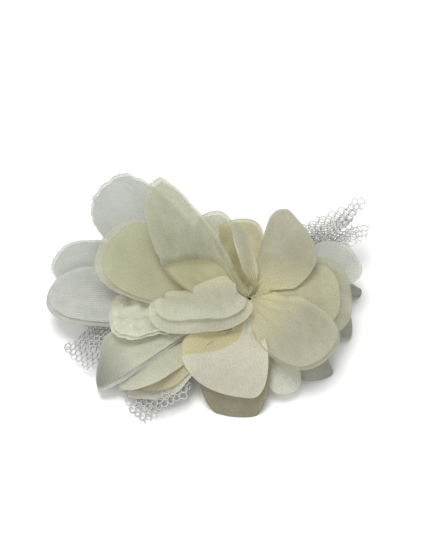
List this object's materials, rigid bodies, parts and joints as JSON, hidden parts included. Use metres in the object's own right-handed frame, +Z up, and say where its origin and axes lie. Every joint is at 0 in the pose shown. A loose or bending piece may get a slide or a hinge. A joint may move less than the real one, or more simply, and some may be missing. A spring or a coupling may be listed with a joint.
{
  "type": "flower hair clip",
  "caption": "Hair clip with a loose flower of folded sheer fabric petals and corners of net on a felt disc, glued to a sprung flat alligator-style clip.",
  "frame": {"origin": "on the surface it lies on, under the middle of its bounding box", "axes": "+X along the clip from the finger pad to the mouth, which is also the longest way across; +Z up, out of the flower's face, the thinnest way; -Y is the side the flower is seen from"},
  "size_m": [0.0982, 0.075, 0.0348],
  "materials": {
    "clip_steel": "bright plated",
    "pin_steel": "drawn wire, dull",
    "spring_steel": "drawn wire, dull",
    "felt": "matte felt",
    "glue": "clear set glue",
    "thread": "cotton thread",
    "chiffon": "sheer with a soft sheen",
    "net": "fine hexagonal net"
  },
  "bodies": {
    "flower_and_arm": {"upper_arm": "clip_steel", "hinge_pin": "pin_steel", "torsion_spring": "spring_steel", "felt_base": "felt", "felt_patch": "felt", "glue_layer": "glue", "backing_stitches": "thread", "petal_01_back_left": "chiffon", "petal_02_left_upper": "chiffon", "petal_03_left": "chiffon", "petal_04_left_inner": "chiffon", "petal_05_back_twist": "chiffon", "petal_06_left_front": "chiffon", "petal_07_over": "chiffon", "petal_08_front": "chiffon", "petal_09_right_front": "chiffon", "petal_10_right": "chiffon", "petal_11_right_back": "chiffon", "petal_12_back_right": "chiffon", "petal_13_fold": "chiffon", "petal_14_back_inner": "chiffon", "petal_15_back": "chiffon", "petal_16_right_low": "chiffon", "petal_17_right_lower": "chiffon", "petal_18_front_right": "chiffon", "petal_19_front_sheer": "chiffon", "petal_20_left_corner": "chiffon", "petal_21_front_left": "chiffon", "petal_22_front_under": "chiffon", "petal_23_rear_right": "chiffon", "petal_24_rear": "chiffon", "petal_25_rear_left": "chiffon", "net_left": "net", "net_front": "net", "net_back_right": "net", "net_right_fold": "net"},
    "lever": {"lever_jaw": "clip_steel"}
  },
  "joints": [
    {"name": "jaw_hinge", "type": "hinge", "parent": "flower_and_arm", "child": "lever", "pos_m": [-0.006, -0.0028, 0.007], "axis": [0, 1, 0], "range_deg": [0, 28], "stiffness_Nm_per_rad": 0.03, "springref_deg": -45.84, "deforming": ["torsion_spring"]}
  ]
}
